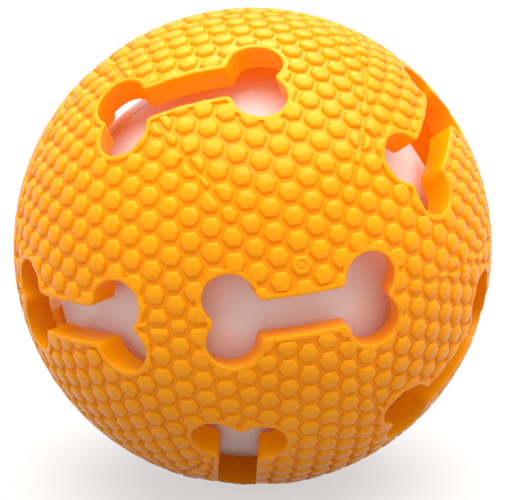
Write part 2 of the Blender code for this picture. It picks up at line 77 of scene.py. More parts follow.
# The back half is the front one turned over about a line in the parting plane, at this angle
BACK_TURN_LINE = 12.0

# Honeycomb: six sectors round the pole, each with columns of pads along its middle meridian
SECTORS = 6
SECTOR_START = 6.0
LATTICE_RADIUS = 37.4
PAD_PITCH = 3.65
COLUMN_PITCH = PAD_PITCH * math.sqrt(3) / 2
# How far the pads sit off their regular places: angle round the pole, to the right and up
LATTICE_SHIFTS = (
    (36.0, 0.3, -0.1),
    (96.0, 0.4, 0.0),
    (156.0, 0.1, -0.3),
    (216.0, -0.1, -0.3),
    (246.0, 0.1, 0.7),
    (276.0, -0.1, 1.1),
    (306.0, -0.2, 0.9),
    (336.0, 0.0, -0.2),
)
GROOVE_WIDTH = 0.54
LEAST_GROOVE = 0.44
PAD_CORNER_CUT = 0.18
# A pad whose middle lies closer than this to its edge is left out
SMALLEST_PAD = 0.48
# Pads whose middles lie closer than this are kept apart
NEIGHBOUR_REACH = 1.4 * PAD_PITCH
# Rings of a pad from its foot to its top: how far in from the foot, and how high
PAD_RINGS = ((0.0, 0.0), (0.10, 0.24), (0.26, 0.48), (0.46, PAD_HEIGHT))
# How many of the nearest pads are asked for the height at a point
NEAREST_PADS = 3

# Moulding mark on one pad: its angle from the pole and angle round it, then the radius and height of
# the rings from the edge of its dimple to the top of its nub
MARK_PLACE = (11.0, 92.0)
MARK_RINGS = ((0.88, PAD_HEIGHT), (0.72, 0.46), (0.42, 0.46), (0.24, 0.62))
MARK_POINTS = 16

# Bone windows: the front one, then those round it by angle from the pole, angle round it and turn
BONES = (
    (0.0, 0.0, 6.0),
    (62.0, 41.0, 0.0),
    (61.5, 115.0, 73.0),
    (61.0, 188.0, 0.0),
    (55.0, 257.0, 16.0),
    (55.0, 332.0, 63.0),
)
LOBE_X = 10.55
LOBE_Y = 3.25
LOBE_RADIUS = 3.9
SHANK_HALF_WIDTH = 2.9
NOTCH_ROUNDING = 1.0
NECK_ROUNDING = 1.0
RIM_ROUNDING = 0.35
RIM_STEPS = 4
# Low lip round a window
LIP_WIDTH = 0.36
LIP_SLOPE = 0.2
LIP_HEIGHT = 0.5
# Points this far beyond a lip's longest reach are still measured for it
LIP_MARGIN = 1.0
# Steps along each stretch of a quarter of a window's outline
ARC_STEPS = {"notch": 3, "lobe": 24, "neck": 4, "shank": 8}

# Spacing of the points inside the cavity
LINING_SPACING = 3.0
# Points closer than this in the flat chart are joined
CHART_JOIN = 1.2e-4
# Points closer than this along a window's outline, counted in the outline's points, are joined
RIM_JOIN = 0.01

# Milky ball
GAP = 0.3
GLOW_RADIUS = 30.8
GLOW_WALL = 1.8
GLOW_LAP_DEPTH = 2.5
GLOW_DROP = 2.2
GLOW_SEGMENTS = 120
GLOW_STEPS = 30
GLOW_SHARP_ANGLE = 40
SCREW_ANGLES = (90.0, 240.0, 300.0)
SCREW_CIRCLE_RADIUS = 18.944
POST_RADIUS = 2.3
POST_HOLE_RADIUS = 1.3
POST_FRONT = -6.5
POST_HOLE_END = -12.8
POST_HOLE_OVERRUN = 1.0
POST_SEGMENTS = 32

# Coils
COIL_WIRE = 0.4
COIL_POINTS = 32
COIL_ROUNDNESS = 3
COIL_SHARP_ANGLE = 60
COIL_JOIN = 1e-5
CELL_ANGLES = {"left": 210.0, "middle": 270.0, "right": 330.0}
CELL_CIRCLE_RADIUS = 13.2
CELL_COIL_SEAT = 2.0
SWITCH_COIL_SEAT = 7.3
# Diameter, pitch and number of turns
CELL_COIL = (5.6, 0.9, 3)
SWITCH_COIL = (3.6, 0.92, 8)

# Look of the rubber
# Marks stored with its points: the lining, the window walls, the grooves and the pad tops
LINING, WALL, GROOVE, PAD = 0.0, 0.25, 0.5, 1.0
# Share of the light that goes through the rubber at each mark, and the colour it takes on
THROUGH_SHARES = ((LINING, 0.60), (WALL, 0.50), (GROOVE, 0.37), (PAD, 0.32))
THROUGH_TINT = (1.0, 0.48, 0.0, 1.0)
# Base colour by mark: the grooves, and with them the window walls and lining, are painted a little lighter
# than the pad tops. This is painted light that offsets the shade in the grooves
RUBBER_COLOURS_WITH_PAINTED_GROOVE_LIGHT = ((GROOVE, (1.0, 0.450, 0.001)), (PAD, (1.0, 0.440, 0.002)))
GLOSS_TINT = (1.0, 0.72, 0.38, 1.0)

# Looks of the pieces inside the milky ball: dark tone, light tone, roughness, grain and metal
INNER_LOOKS = {
    "spring_wire": ((0.66, 0.60, 0.42), (0.82, 0.76, 0.58), 0.28, 3000.0, 1.0),
    "switch_wire": ((0.70, 0.66, 0.50), (0.86, 0.82, 0.66), 0.26, 3000.0, 1.0),
    "tray_plastic": ((0.74, 0.74, 0.71), (0.82, 0.82, 0.80), 0.5, 2500.0, 0.0),
    "board_green": ((0.02, 0.16, 0.06), (0.05, 0.26, 0.11), 0.38, 1800.0, 0.0),
    "black_epoxy": ((0.012, 0.012, 0.013), (0.03, 0.03, 0.03), 0.3, 1500.0, 0.0),
    "resistor_ceramic": ((0.03, 0.03, 0.035), (0.09, 0.09, 0.1), 0.4, 4000.0, 0.0),
    "capacitor_sleeve": ((0.05, 0.07, 0.20), (0.10, 0.12, 0.30), 0.33, 2500.0, 0.0),
    "switch_steel": ((0.70, 0.66, 0.50), (0.86, 0.82, 0.66), 0.28, 3000.0, 1.0),
    "cell_steel": ((0.66, 0.66, 0.65), (0.80, 0.80, 0.79), 0.26, 2200.0, 1.0),
    "contact_steel": ((0.64, 0.63, 0.60), (0.78, 0.77, 0.74), 0.3, 2600.0, 1.0),
    "screw_steel": ((0.46, 0.46, 0.47), (0.62, 0.62, 0.63), 0.3, 3000.0, 1.0),
}
# Solids that keep their own shape, by look
INNER_NODES = {
    "tray_plastic": ("cell_tray",),
    "board_green": ("circuit_board",),
    "black_epoxy": ("controller_chip",),
    "resistor_ceramic": ("resistor",),
    "capacitor_sleeve": ("capacitor",),
    "switch_steel": ("motion_pin",),
    "cell_steel": ("button_cell_left", "button_cell_middle", "button_cell_right"),
    "contact_steel": ("cell_bridge", "return_contact"),
    "screw_steel": ("tray_screw_top", "tray_screw_left", "tray_screw_right"),
}
LENS_TONES = {
    "red": ((0.75, 0.02, 0.02), (0.95, 0.06, 0.05)),
    "green": ((0.02, 0.60, 0.06), (0.06, 0.85, 0.12)),
    "blue": ((0.02, 0.08, 0.75), (0.06, 0.16, 0.95)),
}
LENS_ROUGHNESS = 0.14
LENS_GRAIN = 1200.0
# Nearly all of a noise texture lies between these values
NOISE_LOW = 0.3
NOISE_HIGH = 0.7
# Depths of the fine relief in the materials, in metres
SKIN_DEPTH = 0.00006
GRAIN_DEPTH = 0.00002

# Camera and light, with distances in metres and the lens and sensor in millimetres.
# Directions are across, above and towards the camera.
CAMERA_AZIMUTH = -11.8
CAMERA_ELEVATION = 15.6
CAMERA_DISTANCE = 0.45
CAMERA_LENS = 203.2
CAMERA_SENSOR = 36.0
CAMERA_SHIFT = (0.0017, -0.0066)
CAMERA_CLIP_START = 0.01
WHITE = (1.0, 1.0, 1.0, 1.0)
SKY_LEVEL = 0.98
KEY_DIRECTION = (0.05, 0.97, 0.22)
KEY_DISTANCE = 1.0
KEY_SIZE = 1.6
KEY_POWER = 33.0
FLOOR_HALF_WIDTH = 3.0
FLOOR_TONES = (0.21, 0.23)
# Glow of the floor where it is seen directly, which makes it white there
FLOOR_LIFT = 0.58


def unit(points):
    points = np.asarray(points, float)
    return points / np.linalg.norm(points, axis=-1, keepdims=True)


def to_chart(directions):
    """Flattens unit directions on the half ball, the pole to the middle, the parting line to 1."""
    directions = np.atleast_2d(directions)
    return directions[:, :2] / (1.0 + directions[:, 2:3])


def from_chart(flat):
    """Unit directions of points in the flat chart."""
    flat = np.atleast_2d(np.asarray(flat, float))
    square = (flat**2).sum(1, keepdims=True)
    return np.hstack([2.0 * flat, 1.0 - square]) / (1.0 + square)


def inside(points, polygon):
    """Which of the flat points lie inside a closed polygon."""
    x, y = points[:, 0], points[:, 1]
    within = np.zeros(len(points), bool)
    for (ax, ay), (bx, by) in zip(polygon, np.roll(polygon, -1, axis=0)):
        if ay == by:
            continue
        crosses = (ay > y) != (by > y)
        within ^= crosses & (x < (bx - ax) * (y - ay) / (by - ay) + ax)
    return within


def rotation(axis, degrees):
    return np.array(Matrix.Rotation(math.radians(degrees), 3, axis))


def on_circle(radius, degrees):
    return radius * math.cos(math.radians(degrees)), radius * math.sin(math.radians(degrees))


def circle(count):
    """Even points on a circle of radius 1."""
    angles = np.linspace(0.0, 2 * math.pi, count, endpoint=False)
    return np.column_stack([np.cos(angles), np.sin(angles)])


def arc_points(centre, radius, start, end, steps):
    angles = np.linspace(start, end, steps + 1)
    return [(centre[0] + radius * math.cos(a), centre[1] + radius * math.sin(a)) for a in angles]


def bone_frames():
    """Columns of each frame: along the bone, across it, and out through the window."""
    return [
        rotation("Z", around) @ rotation("Y", polar) @ rotation("Z", turn)
        for polar, around, turn in BONES
    ]


def bone_rim(grow):
    """Outline of a window, grown by a distance. Every grown outline has matching points."""
    reach = LOBE_RADIUS + NOTCH_ROUNDING
    notch = (LOBE_X + math.sqrt(reach**2 - LOBE_Y**2), 0.0)
    neck_y = SHANK_HALF_WIDTH + NECK_ROUNDING
    reach = LOBE_RADIUS + NECK_ROUNDING
    neck = (LOBE_X - math.sqrt(reach**2 - (neck_y - LOBE_Y) ** 2), neck_y)
    to_notch = math.atan2(notch[1] - LOBE_Y, notch[0] - LOBE_X)
    to_neck = math.atan2(neck[1] - LOBE_Y, neck[0] - LOBE_X)
    lobe = (LOBE_X, LOBE_Y)
    quarter = arc_points(notch, NOTCH_ROUNDING - grow, math.pi, math.pi + to_notch, ARC_STEPS["notch"])
    quarter += arc_points(lobe, LOBE_RADIUS + grow, to_notch, to_neck, ARC_STEPS["lobe"])[1:]
    quarter += arc_points(neck, NECK_ROUNDING - grow, to_neck - math.pi, -math.pi / 2, ARC_STEPS["neck"])[1:]
    corner_x, shank_y = quarter[-1]
    steps = ARC_STEPS["shank"]
    quarter += [(corner_x * (1 - step / steps), shank_y) for step in range(1, steps + 1)]
    loop = quarter + [(-x, y) for x, y in reversed(quarter[:-1])]
    loop += [(-x, -y) for x, y in quarter[1:]]
    loop += [(x, -y) for x, y in reversed(quarter[1:-1])]
    return np.array(loop)


def place_on_rim(point, rim):
    """How far along an outline a point lies, counted in points of the outline, and how far off."""
    run = np.roll(rim, -1, axis=0) - rim
    share = (((point - rim) * run).sum(1) / (run**2).sum(1)).clip(0.0, 1.0)
    off = ((rim + run * share[:, None] - point) ** 2).sum(1)
    best = int(off.argmin())
    return best + share[best], math.sqrt(off[best])


def clip(polygon, normal, limit):
    """The part of a convex polygon where normal . point is at most limit."""
    kept = []
    for here, there in zip(polygon, polygon[1:] + polygon[:1]):
        a = normal @ here - limit
        b = normal @ there - limit
        if a <= 0:
            kept.append(here)
        if (a < 0 < b) or (b < 0 < a):
            kept.append(here + (there - here) * (a / (a - b)))
    return kept


def cut_corners(polygon):
    """Two points for each corner, set back along its sides by a third of a side at most."""
    points = []
    for before, here, after in zip(polygon[-1:] + polygon[:-1], polygon, polygon[1:] + polygon[:1]):
        for other in (before, after):
            run = other - here
            length = np.linalg.norm(run)
            points.append(here + run / length * min(PAD_CORNER_CUT, length / 3))
    return np.array(points)


def edge_normals(polygon):
    """Inward unit normal of each edge of an anticlockwise polygon."""
    runs = np.roll(polygon, -1, axis=0) - polygon
    runs /= np.linalg.norm(runs, axis=1, keepdims=True)
    return np.column_stack([-runs[:, 1], runs[:, 0]])


def inset(polygon, distance):
    """A convex polygon with every edge moved in by a distance."""
    after = edge_normals(polygon)
    before = np.roll(after, 1, axis=0)
    share = 1.0 + (after * before).sum(1, keepdims=True)
    return polygon + distance * (after + before) / share


class Pad:
    """A raised pad: its middle on the ball, the axes of its tangent plane and its foot's outline."""

    def __init__(self, centre, along, across, foot):
        self.centre = centre
        self.along = along
        self.across = across
        self.foot = foot

    def in_space(self, flat):
        """Places of points of the tangent plane."""
        flat = np.atleast_2d(flat)
        return LATTICE_RADIUS * self.centre + flat[:, :1] * self.along + flat[:, 1:] * self.across

    def in_chart(self, flat):
        return to_chart(unit(self.in_space(flat)))

    def in_plane(self, direction):
        return np.array([direction @ self.along, direction @ self.across])

    def trim(self, direction, depth):
        """Takes a depth off the side that looks in a direction."""
        normal = unit(self.in_plane(direction))
        limit = (np.array(self.foot) @ normal).max() - depth
        self.foot = clip(self.foot, normal, limit)

    def round_off(self):
        """Takes off the corners. False if the pad is too small to keep."""
        if len(self.foot) < 3:
            return False
        self.foot = cut_corners(self.foot)
        inward = (self.foot.mean(0) - self.foot) * edge_normals(self.foot)
        return inward.sum(1).min() > SMALLEST_PAD

    def height(self, direction):
        """Height above the grooves at a direction."""
        point = LATTICE_RADIUS / (direction @ self.centre) * self.in_plane(direction)
        depth = ((point - self.foot) * edge_normals(self.foot)).sum(1).min()
        insets = [ring[0] for ring in PAD_RINGS] + [PAD_PITCH / 2]
        heights = [ring[1] for ring in PAD_RINGS] + [PAD_HEIGHT]
        return float(np.interp(depth, insets, heights))


def lattice_sides(pitch):
    """Borders between a pad's middle and its six neighbours, as a normal and a distance."""
    sides = []
    for along, across in ((1, 0), (0.5, 1), (-0.5, 1), (-1, 0), (-0.5, -1), (0.5, -1)):
        step = np.array([along * pitch, across * COLUMN_PITCH])
        length = np.linalg.norm(step)
        sides.append((step / length, length / 2))
    return sides


def mirrored(side, mirror):
    """A border on the other side of a line, which has a normal and a distance too."""
    turned = side[0] @ mirror[0]
    return side[0] - 2 * turned * mirror[0], side[1] - 2 * turned * mirror[1]


def border(wall, centre, along, across):
    """Line where a plane through the ball's middle cuts a tangent plane: a normal and a distance."""
    normal = np.array([wall @ along, wall @ across])
    size = max(np.linalg.norm(normal), TINY)
    return normal / size, -LATTICE_RADIUS * (wall @ centre) / size


def pad_foot(sides):
    """What is left of a wide square inside all borders, with half a groove at each."""
    far = 2 * PAD_PITCH
    foot = [np.array(corner) for corner in ((-far, -far), (far, -far), (far, far), (-far, far))]
    for normal, distance in sides:
        foot = clip(foot, normal, distance - GROOVE_WIDTH / 2)
    return foot


def shifted(centre):
    """Moves a pad's middle by the shift found at its angle round the pole."""
    angle = math.degrees(math.atan2(centre[1], centre[0]))
    angles, right, up = np.array(LATTICE_SHIFTS).T
    move = [np.interp(angle, angles, amounts, period=360.0) for amounts in (right, up)]
    outward = unit(centre[:2])
    out = outward @ move
    left = outward[0] * move[1] - outward[1] * move[0]
    downhill = np.append(outward * centre[2], -np.linalg.norm(centre[:2]))
    sideways = np.array([-outward[1], outward[0], 0.0])
    return unit(LATTICE_RADIUS * centre + out * downhill + left * sideways)


def sector_pads(sector):
    """The pads of one sector.

    A pad with its middle inside the sector is cut off at the seam. One with its middle beyond the
    seam is joined to its mirror image from the next sector.
    """
    pads = []
    pole = np.array([0.0, 0.0, 1.0])
    half = math.pi / SECTORS
    middle = math.radians(SECTOR_START) + half * (2 * sector + 1)
    forward = np.array([math.cos(middle), math.sin(middle), 0.0])
    sideways = np.array([-math.sin(middle), math.cos(middle), 0.0])
    next_seam = sideways * math.cos(half) - forward * math.sin(half)
    last_seam = -sideways * math.cos(half) - forward * math.sin(half)
    columns = int(LATTICE_RADIUS * half / COLUMN_PITCH) + 2
    rows = int(LATTICE_RADIUS * math.pi / 2 / PAD_PITCH) + 2
    for column in range(-columns, columns + 1):
        aside = column * COLUMN_PITCH / LATTICE_RADIUS
        for row in range(rows):
            polar = (row + 0.5 * (column % 2)) * PAD_PITCH / LATTICE_RADIUS
            meridian = math.cos(polar) * pole + math.sin(polar) * forward
            centre = math.cos(aside) * meridian + math.sin(aside) * sideways
            along = math.cos(polar) * forward - math.sin(polar) * pole
            across = math.cos(aside) * sideways - math.sin(aside) * meridian
            ahead = border(next_seam, centre, along, across)
            behind = border(last_seam, centre, along, across)
            if ahead[1] < -PAD_PITCH or behind[1] <= 0:
                continue
            sides = lattice_sides(PAD_PITCH * math.cos(aside)) + [behind]
            if ahead[1] > 0:
                sides.append(ahead)
            else:
                sides += [mirrored(side, ahead) for side in sides]
            centre = shifted(centre)
            along = unit(along - (along @ centre) * centre)
            across = np.cross(centre, along)
            foot = pad_foot(sides + [border(-pole, centre, along, across)])
            if len(foot) > 2:
                pads.append(Pad(centre, along, across, foot))
    return pads


def widest_gap(one, other):
    """Gap between two pads across the edge that parts them best, and the direction of that gap."""
    best = (-math.inf, None)
    if len(one.foot) < 3 or len(other.foot) < 3:
        return math.inf, None
    for pad, sign in ((one, 1.0), (other, -1.0)):
        for flat in -edge_normals(np.array(pad.foot)):
            normal = sign * (flat[0] * pad.along + flat[1] * pad.across)
            gap = (other.in_space(other.foot) @ normal).min() - (one.in_space(one.foot) @ normal).max()
            best = max(best, (gap, tuple(normal)))
    return best[0], np.array(best[1])


def part_neighbours(pads):
    """Cuts back pads that come closer to each other than the least groove."""
    centres = np.array([pad.centre for pad in pads])
    near = centres @ centres.T > math.cos(NEIGHBOUR_REACH / LATTICE_RADIUS)
    for first, second in np.argwhere(np.triu(near, 1)):
        one, other = pads[first], pads[second]
        gap, normal = widest_gap(one, other)
        if gap < LEAST_GROOVE:
            one.trim(normal, (LEAST_GROOVE - gap) / 2)
            other.trim(-normal, (LEAST_GROOVE - gap) / 2)


def make_pads(windows):
    """The pads of one moulding, without those that a window takes away whole."""
    pads = [pad for sector in range(SECTORS) for pad in sector_pads(sector)]
    part_neighbours(pads)
    pads = [pad for pad in pads if pad.round_off()]
    feet = [pad.in_chart(pad.foot) for pad in pads]
    ends = np.cumsum([len(foot) for foot in feet])
    open_air = np.zeros(ends[-1], bool)
    for window in windows:
        open_air |= inside(np.vstack(feet), window)
    lost = [cut.all() for cut in np.split(open_air, ends[:-1])]
    return [pad for pad, gone in zip(pads, lost) if not gone]


def marked_pad(pads):
    """The pad that carries the moulding mark."""
    polar, around = MARK_PLACE
    heading = rotation("Z", around) @ rotation("Y", polar) @ np.array([0.0, 0.0, 1.0])
    return max(pads, key=lambda pad: pad.centre @ heading)


def height_at(pads, centres, direction):
    """Height of the pads above the grooves at a direction."""
    near = np.argsort(-(centres @ direction))[:NEAREST_PADS]
    return max(pads[index].height(direction) for index in near)


def lip_heights(directions, frames):
    """Height of the low lips round the windows above the grooves."""
    true = bone_rim(0.0)
    heights = np.zeros(len(directions))
    top = RIM_ROUNDING + LIP_WIDTH
    reach = LOBE_X + LOBE_RADIUS + top + LIP_SLOPE + LIP_MARGIN
    for bone_frame in frames:
        local = directions @ bone_frame * MIDDLE_RADIUS
        close = np.where((local[:, 2] > 0) & (np.hypot(local[:, 0], local[:, 1]) < reach))[0]
        gap = np.array([place_on_rim(local[index, :2], true)[1] for index in close])
        lip = np.interp(gap, (top, top + LIP_SLOPE), (LIP_HEIGHT, 0.0))
        heights[close] = np.maximum(heights[close], lip)
    return heights


def ring_edges(start, count):
    """Edges of a closed run of points, by their numbers."""
    return [(start + step, start + (step + 1) % count) for step in range(count)]


class Sketch:
    """Closed runs of points in the flat chart, with their heights above the grooves where known."""

    def __init__(self):
        self.flat = []
        self.heights = []
        self.edges = []

    def add(self, run, height):
        start = len(self.heights)
        if len(run) > 1:
            self.edges += ring_edges(start, len(run))
        self.flat += list(run)
        self.heights += [height] * len(run)


class Moulding:
    """Points and faces of half the rubber ball, gathered surface by surface."""

    def __init__(self):
        self.points = []
        self.relief = []
        self.faces = []

    def add(self, points, relief):
        start = len(self.points)
        self.points += [np.asarray(p, float) for p in points]
        self.relief += list(relief)
        return list(range(start, len(self.points)))

    def strip(self, upper, lower):
        """Faces between two closed runs of the same length."""
        for step in range(len(upper)):
            after = (step + 1) % len(upper)
            corners = [upper[after], upper[step], lower[step], lower[after]]
            corners = list(dict.fromkeys(corners))
            if len(corners) > 2:
                self.faces.append(corners)


def triangulate(flat, edges, join):
    """Triangles over flat points that keep the edges. Gives points, faces and the points' origins."""
    points, _, faces, origins, _, _ = delaunay_2d_cdt(
        [Vector(p) for p in flat], edges, [], 0, join, True
    )
    return np.array([tuple(p) for p in points]), [list(f) for f in faces], origins


def on_rubber(points, faces, windows):
    """The faces that lie within the parting line and outside every window."""
    middles = points[np.array(faces)].mean(1)
    keep = (middles**2).sum(1) < 1.0
    for window in windows:
        keep &= ~inside(middles, window)
    return [face for face, kept in zip(faces, keep) if kept]


def boundary_loops(faces):
    """Closed runs of edges that belong to one face only, in the direction of that face."""
    once = {}
    for face in faces:
        for a, b in zip(face, face[1:] + face[:1]):
            if (b, a) in once:
                del once[(b, a)]
            else:
                once[(a, b)] = True
    following = {}
    for a, b in once:
        following.setdefault(a, []).append(b)
    loops = []
    while following:
        start = next(iter(following))
        loop = [start]
        while True:
            options = following[loop[-1]]
            step = options.pop()
            if not options:
                del following[loop[-1]]
            if step == start:
                break
            loop.append(step)
        loops.append(loop)
    return loops


def window_outlines(frames, grow):
    """The outline of every window in the flat chart, grown by a distance."""
    rim = bone_rim(grow)
    depth = np.sqrt(MIDDLE_RADIUS**2 - (rim**2).sum(1, keepdims=True))
    return [to_chart(unit(np.hstack([rim, depth]) @ bone_frame.T)) for bone_frame in frames]


def sketch_outside(outlines, pads):
    """The runs of points that the honeycomb surface follows."""
    marked = marked_pad(pads)
    sketch = Sketch()
    sketch.add(circle(PARTING_POINTS), 0.0)
    for outline in outlines:
        sketch.add(outline, math.nan)
    for pad in pads:
        middle = pad.foot.mean(0)
        top = PAD_HEIGHT
        for distance, height in PAD_RINGS:
            sketch.add(pad.in_chart(inset(pad.foot, distance)), height)
        if pad is marked:
            top = MARK_RINGS[-1][1]
            for radius, height in MARK_RINGS:
                sketch.add(pad.in_chart(middle + radius * circle(MARK_POINTS)), height)
        sketch.add(pad.in_chart(middle), top)
    return sketch


def make_outside(half, frames):
    """The honeycomb surface with its windows. Gives the parting run and each window's run."""
    windows = window_outlines(frames, RIM_ROUNDING)
    lip_tops = window_outlines(frames, RIM_ROUNDING + LIP_WIDTH)
    lip_feet = window_outlines(frames, RIM_ROUNDING + LIP_WIDTH + LIP_SLOPE)
    pads = make_pads(windows)
    sketch = sketch_outside(windows + lip_tops + lip_feet, pads)
    heights = np.array(sketch.heights)
    points, faces, origins = triangulate(sketch.flat, sketch.edges, CHART_JOIN)
    faces = on_rubber(points, faces, windows)
    centres = np.array([unit(pad.in_space(pad.foot.mean(0)))[0] for pad in pads])
    directions = from_chart(points)
    used = sorted({index for face in faces for index in face})
    number = {}
    for index, lip in zip(used, lip_heights(directions[used], frames)):
        known = [heights[o] for o in origins[index] if not np.isnan(heights[o])]
        height = known[0] if known else height_at(pads, centres, directions[index])
        height = max(height, lip)
        mark = GROOVE + (PAD - GROOVE) * height / PAD_HEIGHT
        number[index] = half.add([directions[index] * (GROOVE_RADIUS + height)], [mark])[0]
    faces = [[number[index] for index in face] for face in faces]
    half.faces += faces
    runs = boundary_loops(faces)
    runs.sort(key=lambda run: max(half.points[index][2] for index in run))
    return runs[0], runs[1:]


def make_window(half, bone_frame, run):
    """Rounds the rim of a window and drops its walls square through the rubber."""
    grown = bone_rim(RIM_ROUNDING)
    true = bone_rim(0.0)
    places = [place_on_rim((half.points[index] @ bone_frame)[:2], grown)[0] for index in run]
    start = int(np.argmax(places))
    upper = run[start:] + run[:start]
    places.sort(reverse=True)
    rows = [[] for _ in range(RIM_STEPS + 2)]
    column = []
    for step, (index, place) in enumerate(zip(upper, places)):
        if step and places[step - 1] - place < RIM_JOIN:
            column.append(column[-1])
            continue
        column.append(len(rows[0]))
        first = int(place)
        share = place - first
        x, y = true[first % len(true)] * (1 + first - place) + true[(first + 1) % len(true)] * share
        across = x * x + y * y
        edge = half.points[index] @ bone_frame
        corner = np.array([x, y, math.sqrt(edge @ edge - across)])
        below = corner - np.array([0.0, 0.0, RIM_ROUNDING])
        for bend in range(1, RIM_STEPS + 1):
            t = bend / RIM_STEPS
            rows[bend - 1].append((1 - t) ** 2 * edge + 2 * t * (1 - t) * corner + t * t * below)
        foot = np.array([x, y, math.sqrt(CAVITY_RADIUS**2 - across)])
        rows[-2].append(0.5 * (below + foot))
        rows[-1].append(foot)
    for step, row in enumerate(rows):
        mark = GROOVE if step < RIM_STEPS else WALL
        added = half.add(np.array(row) @ bone_frame.T, [mark] * len(row))
        lower = [added[number] for number in column]
        half.strip(upper, lower)
        upper = lower
    return list(dict.fromkeys(upper))


def lining_spots(windows):
    """Even points over the wall of the cavity, in the flat chart, outside every window."""
    spots = []
    reach = math.pi / 2
    rings = int(CAVITY_RADIUS * reach / LINING_SPACING)
    for ring in range(rings):
        polar = reach * ring / rings
        places = max(1, int(2 * math.pi * math.sin(polar) * CAVITY_RADIUS / LINING_SPACING))
        angles = np.linspace(0, 2 * math.pi, places, endpoint=False) + ring
        spot = np.column_stack([np.cos(angles), np.sin(angles)]) * math.tan(polar / 2)
        for window in windows:
            spot = spot[~inside(spot, window)]
        spots.append(spot)
    return np.vstack(spots)


def make_lining(half, parting_outer, window_runs):
    """The smooth wall of the cavity, and the flat face where the halves meet."""
    windows = [to_chart(unit(np.array([half.points[index] for index in run]))) for run in window_runs]
    owners = [None] * PARTING_POINTS
    edges = ring_edges(0, PARTING_POINTS)
    for run in window_runs:
        edges += ring_edges(len(owners), len(run))
        owners += run
    spots = lining_spots(windows)
    owners += [None] * len(spots)
    flat = np.vstack([circle(PARTING_POINTS), *windows, spots])
    points, faces, origins = triangulate(flat, edges, 0.0)
    faces = on_rubber(points, faces, windows)
    directions = from_chart(points)
    number = {}
    for index in sorted({index for face in faces for index in face}):
        owned = [owners[o] for o in origins[index] if owners[o] is not None]
        if not owned:
            owned = half.add([directions[index] * CAVITY_RADIUS], [LINING])
        number[index] = owned[0]
    half.faces += [[number[index] for index in reversed(face)] for face in faces]
    inner = [None] * PARTING_POINTS
    for index, made in number.items():
        for origin in origins[index]:
            if origin < PARTING_POINTS:
                inner[origin] = made
    turns = [math.atan2(half.points[i][1], half.points[i][0]) / (2 * math.pi) for i in parting_outer]
    half.strip(parting_outer, [inner[round(turn * PARTING_POINTS) % PARTING_POINTS] for turn in turns])


def make_moulding():
    """Points, marks and faces of half the rubber ball."""
    half = Moulding()
    frames = bone_frames()
    parting, runs = make_outside(half, frames)
    feet = []
    for run in runs:
        heading = unit(np.mean([half.points[index] for index in run], axis=0))
        bone_frame = max(frames, key=lambda columns: columns[:, 2] @ heading)
        feet.append(make_window(half, bone_frame, run))
    make_lining(half, parting, feet)
    points = np.array(half.points) + np.array([0.0, 0.0, PARTING_GAP / 2])
    return points, np.array(half.relief), half.faces


def link(name, data):
    item = bpy.data.objects.new(name, data)
    bpy.context.scene.collection.objects.link(item)
    return item


def to_item(name, bm):
    bmesh.ops.recalc_face_normals(bm, faces=bm.faces)
    mesh = bpy.data.meshes.new(name)
    bm.to_mesh(mesh)
    bm.free()
    return link(name, mesh)


def smooth(mesh, degrees):
    """Smooth shading, apart from edges sharper than an angle."""
    mesh.shade_smooth()
    mesh.set_sharp_from_angle(angle=math.radians(degrees))


def cover(mesh, material):
    """Gives a mesh one material in place of those it has."""
    mesh.materials.clear()
    mesh.materials.append(material)


def make_rubber(points, relief, faces, name, turn, material):
    """One half of the rubber ball as a closed mesh in metres."""
    placed = points @ (STAND @ turn).T * MM
    mesh = bpy.data.meshes.new(name)
    mesh.from_pydata(placed.tolist(), [], faces)
    attribute = mesh.attributes.new("relief", "FLOAT", "POINT")
    attribute.data.foreach_set("value", relief.astype(np.float32))
    smooth(mesh, RUBBER_SHARP_ANGLE)
    cover(mesh, material)
    return link(name, mesh)


def add_turned(bm, profile, segments):
    """Adds a body of revolution about Z from a closed run of (radius, height) points."""
    rings = []
    for radius, height in profile:
        count = segments if radius > 0 else 1
        angles = [2 * math.pi * step / segments for step in range(count)]
        rings.append([bm.verts.new((radius * math.cos(a), radius * math.sin(a), height)) for a in angles])
    for ring, following in zip(rings, rings[1:] + rings[:1]):
        if len(ring) == len(following) == 1:
            continue
        for step in range(segments):
            after = step + 1
            corners = [ring[step % len(ring)], ring[after % len(ring)]]
            corners += [following[after % len(following)], following[step % len(following)]]
            bm.faces.new(list(dict.fromkeys(corners)))


def add_column(bm, radius, low, high, centre, turn):
    """Adds an upright round body, turned by a share of a segment. A level may be a function of x, y."""
    ends = []
    for level in (low, high):
        ring = []
        for step in range(POST_SEGMENTS):
            x, y = on_circle(radius, 360.0 * (step + turn) / POST_SEGMENTS)
            x, y = centre[0] + x, centre[1] + y
            ring.append(bm.verts.new((x, y, level(x, y) if callable(level) else level)))
        ends.append(ring)
    bm.faces.new(ends[0][::-1])
    bm.faces.new(ends[1])
    for step in range(POST_SEGMENTS):
        after = (step + 1) % POST_SEGMENTS
        bm.faces.new((ends[0][step], ends[0][after], ends[1][after], ends[1][step]))


def combine(item, tool, operation):
    """Adds a body to a piece, or cuts it away, and removes the tool."""
    modifier = item.modifiers.new(operation, "BOOLEAN")
    modifier.operation = operation
    modifier.solver = "EXACT"
    modifier.object = tool
    shaped = item.evaluated_get(bpy.context.evaluated_depsgraph_get())
    item.data = bpy.data.meshes.new_from_object(shaped)
    item.modifiers.clear()
    bpy.data.objects.remove(tool, do_unlink=True)


def stand_up(item):
    """Turns a piece drawn in the milky ball's frame into the part's frame, in metres."""
    turn = Matrix([[*row, 0.0] for row in STAND.tolist()] + [[0.0, 0.0, 0.0, 1.0]])
    place = Matrix.Translation((0.0, 0.0, -GLOW_DROP * MM))
    item.data.transform(place @ turn @ Matrix.Scale(MM, 4))


